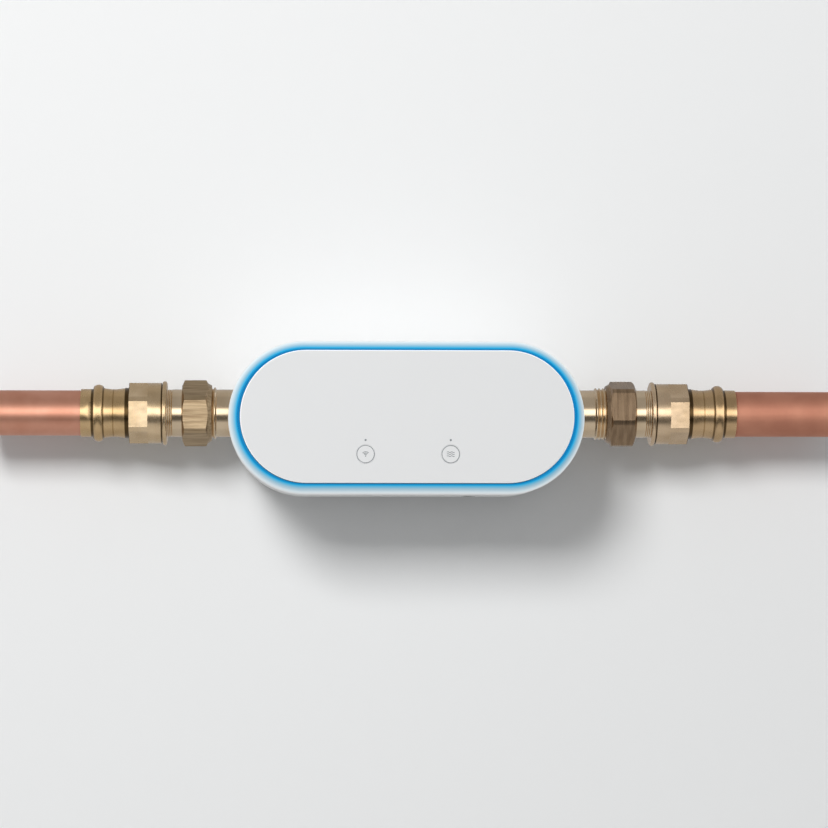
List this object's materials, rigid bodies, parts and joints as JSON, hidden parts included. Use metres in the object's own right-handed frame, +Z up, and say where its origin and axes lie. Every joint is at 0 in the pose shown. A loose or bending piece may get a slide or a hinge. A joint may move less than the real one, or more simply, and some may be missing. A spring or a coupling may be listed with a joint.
{
  "type": "smart water valve",
  "caption": "Motorised ball valve with a flow turbine in a white pill-shaped housing with a glowing rim, joined to copper pipe by union nuts and press adapters.",
  "frame": {"origin": "on the wall, at the back face of the wall bracket, behind the middle of the pipe's axis", "axes": "+X along the pipe from the inlet to the outlet, +Y into the wall, +Z up; the housing faces -Y"},
  "size_m": [0.5293, 0.088, 0.0933],
  "materials": {
    "white_shell": "fine satin moulded plastic",
    "white_lid": "silky smooth plastic",
    "light_guide": "translucent acrylic, lit blue",
    "brass": "turned brass",
    "nut_brass": "brownish forged brass",
    "copper": "drawn copper",
    "zinc_steel": "zinc plated",
    "stainless": "stainless steel",
    "rubber": "black rubber",
    "ptfe": "white fluoropolymer",
    "board": "solder mask on a circuit board",
    "chip": "black moulded package",
    "led": "lit blue light source",
    "grey_plastic": "glass-filled plastic",
    "dark_plastic": "moulded plastic",
    "lead": "flexible insulation"
  },
  "bodies": {
    "housing": {"actuator_screws": "stainless", "ball_seats": "ptfe", "board_components": "chip", "board_screws": "zinc_steel", "body_straps": "stainless", "bracket_screws": "zinc_steel", "flow_sensor": "chip", "flow_straightener": "grey_plastic", "front_shell": "white_shell", "gearbox_base": "grey_plastic", "gearbox_cover": "grey_plastic", "gearbox_screws": "zinc_steel", "idler_axle": "stainless", "inlet_adapter": "brass", "inlet_pipe": "copper", "inner_leads": "lead", "key_switches": "chip", "lid": "white_lid", "light_guide": "light_guide", "main_board": "board", "motor_can": "zinc_steel", "motor_cap": "dark_plastic", "nut_clips": "stainless", "outlet_adapter": "brass", "outlet_pipe": "copper", "pipe_grommets": "rubber", "power_inlet_jack": "dark_plastic", "press_seals": "rubber", "pressure_sensor": "stainless", "radio_module": "stainless", "rear_shell": "white_shell", "ring_board": "board", "ring_leds": "led", "shell_gasket": "rubber", "shell_screws": "stainless", "status_light_pipes": "light_guide", "stem_washer": "ptfe", "strap_screws": "zinc_steel", "temperature_probe": "stainless", "turbine_axle": "stainless", "turbine_bearing": "grey_plastic", "union_tails": "brass", "union_washers": "rubber", "valve_body": "brass", "valve_end_piece": "brass", "wall_bracket": "zinc_steel"},
    "ball": {"ball": "stainless", "valve_stem": "brass", "stem_seals": "rubber", "output_gear": "ptfe"},
    "idler": {"idler_gear": "ptfe"},
    "motor_rotor": {"motor_shaft": "stainless", "motor_pinion": "brass"},
    "turbine": {"turbine_rotor": "ptfe"},
    "inlet_nut": {"inlet_nut": "nut_brass"},
    "outlet_nut": {"outlet_nut": "nut_brass"},
    "connection_key": {"connection_key_cap": "white_lid", "connection_switch_plunger": "dark_plastic"},
    "water_key": {"water_key_cap": "white_lid", "water_switch_plunger": "dark_plastic"}
  },
  "joints": [
    {"name": "ball_turn", "type": "hinge", "parent": "housing", "child": "ball", "pos_m": [0.035, 0, 0], "axis": [0, -1, 0], "range_deg": [0, 90]},
    {"name": "idler_turn", "type": "hinge", "parent": "housing", "child": "idler", "pos_m": [0.00598, 0, -0.01349], "axis": [0, -1, 0], "range_deg": [-270, 0]},
    {"name": "motor_turn", "type": "hinge", "parent": "housing", "child": "motor_rotor", "pos_m": [-0.00313, 0, -0.03395], "axis": [0, -1, 0], "range_deg": [0, 675]},
    {"name": "turbine_spin", "type": "hinge", "parent": "housing", "child": "turbine", "pos_m": [-0.04825, -0.032, 0], "axis": [1, 0, 0], "continuous": true},
    {"name": "inlet_nut_spin", "type": "hinge", "parent": "housing", "child": "inlet_nut", "pos_m": [-0.1285, -0.032, 0], "axis": [1, 0, 0], "continuous": true},
    {"name": "outlet_nut_spin", "type": "hinge", "parent": "housing", "child": "outlet_nut", "pos_m": [0.1345, -0.032, 0], "axis": [1, 0, 0], "continuous": true},
    {"name": "connection_key_press", "type": "slide", "parent": "housing", "child": "connection_key", "axis": [0, 1, 0], "range_m": [0, 0.0004], "stiffness_N_per_m": 4000},
    {"name": "water_key_press", "type": "slide", "parent": "housing", "child": "water_key", "axis": [0, 1, 0], "range_m": [0, 0.0004], "stiffness_N_per_m": 4000}
  ],
  "couplings": [
    {"joint": "idler_turn", "follows": "ball_turn", "ratio": -3},
    {"joint": "motor_turn", "follows": "ball_turn", "ratio": 7.5}
  ]
}
